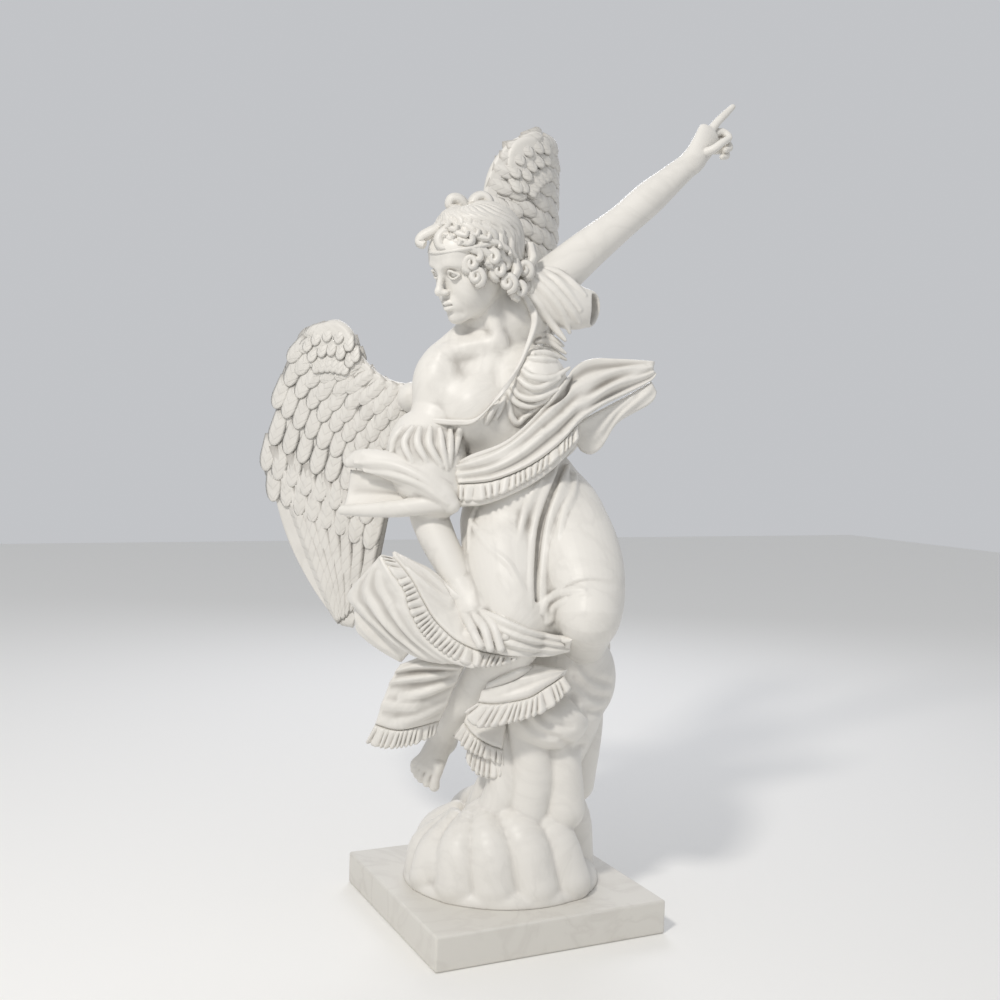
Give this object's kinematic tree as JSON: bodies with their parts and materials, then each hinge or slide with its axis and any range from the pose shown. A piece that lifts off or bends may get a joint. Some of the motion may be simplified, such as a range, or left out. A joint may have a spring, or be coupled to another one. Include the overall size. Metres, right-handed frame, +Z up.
{
  "type": "marble angel statue",
  "caption": "Garden statue carved in white marble: a draped, winged figure leans off a cloud and points upward, on a square plinth.",
  "frame": {"origin": "centre of the plinth's underside", "axes": "+Z up; -Y out of the plinth's front face; +X to the right seen from the front. The figure is turned about 26 degrees on the plinth, clockwise seen from above"},
  "size_m": [0.972, 0.7737, 1.8197],
  "materials": {
    "honed_marble": "honed white marble, warm white with faint grey veins",
    "plinth_marble": "sawn and rubbed white marble, slightly greyer"
  },
  "bodies": {
    "root": {"angel": "honed_marble", "plinth": "plinth_marble"}
  },
  "joints": []
}
